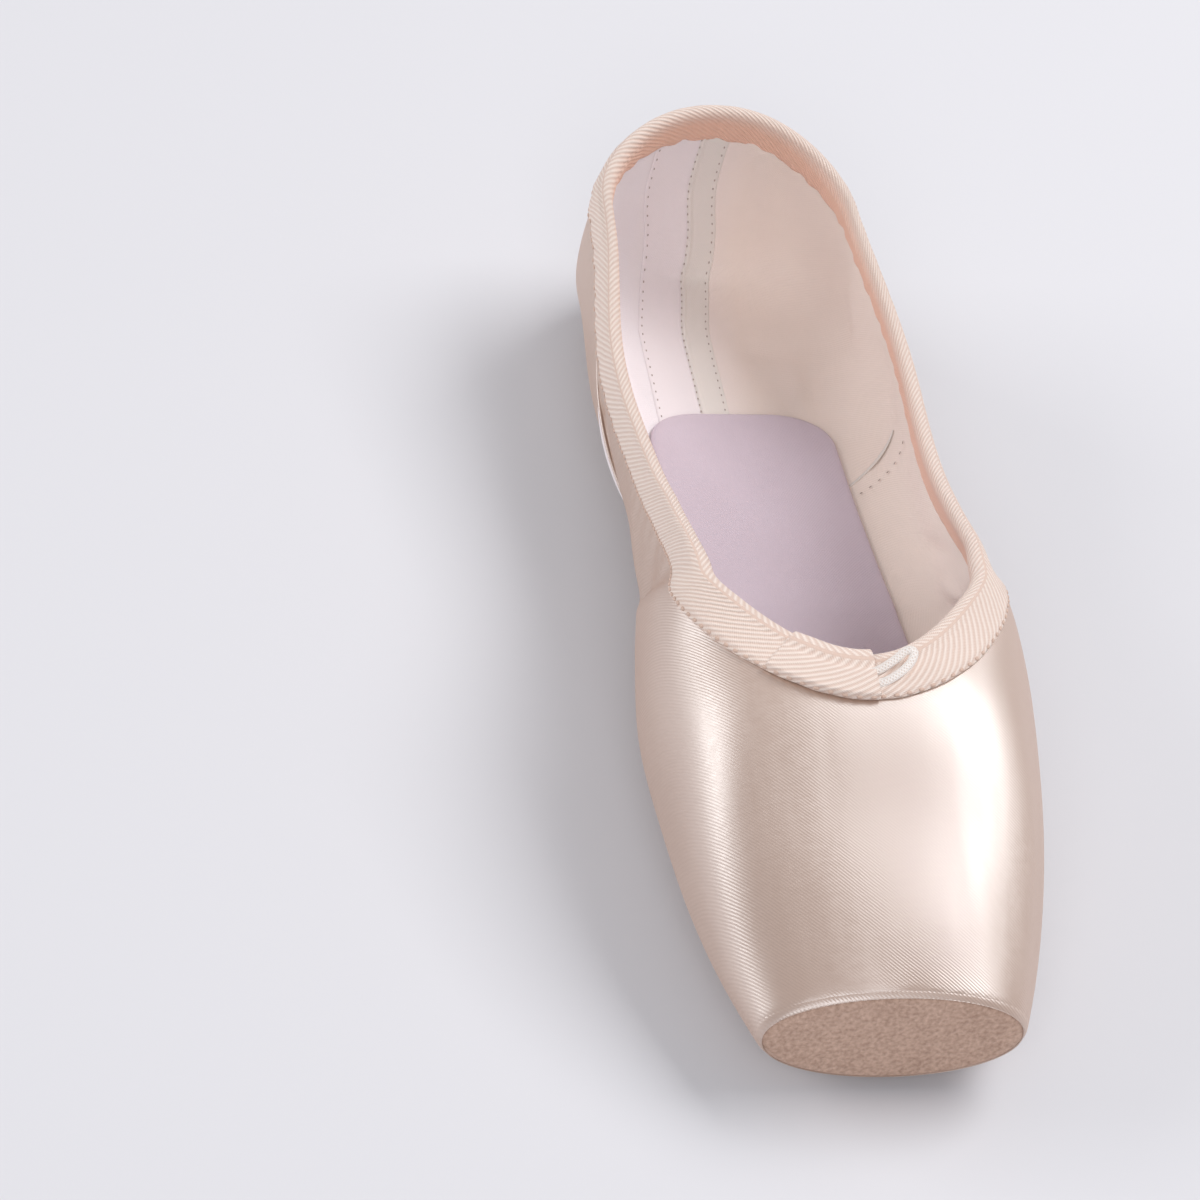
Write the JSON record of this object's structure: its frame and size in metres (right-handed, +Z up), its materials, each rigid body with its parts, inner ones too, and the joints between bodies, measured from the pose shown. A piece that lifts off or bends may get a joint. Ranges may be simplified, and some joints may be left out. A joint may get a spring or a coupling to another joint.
{
  "type": "pointe shoe",
  "caption": "Satin pointe shoe with a flat suede platform, a stiff box, a narrow leather sole and twill tape folded over its low collar, standing empty.",
  "frame": {"origin": "on the floor under the middle of the shoe's length and width", "axes": "+Z up, -Y towards the toe's platform, +Y towards the heel, +X across the shoe"},
  "size_m": [0.0754, 0.232, 0.0516],
  "materials": {
    "satin": "pale peach satin with a strong sheen",
    "tape": "cotton herringbone tape",
    "suede": "tan suede with a fine nap",
    "leather": "plain sole leather, scored",
    "sock": "fine woven cloth, lavender white",
    "elastic": "flat braided elastic, cream"
  },
  "bodies": {
    "root": {"upper": "satin", "binding": "tape", "toe_patch": "suede", "outsole": "leather", "insole": "sock", "drawstring": "elastic"}
  },
  "joints": []
}
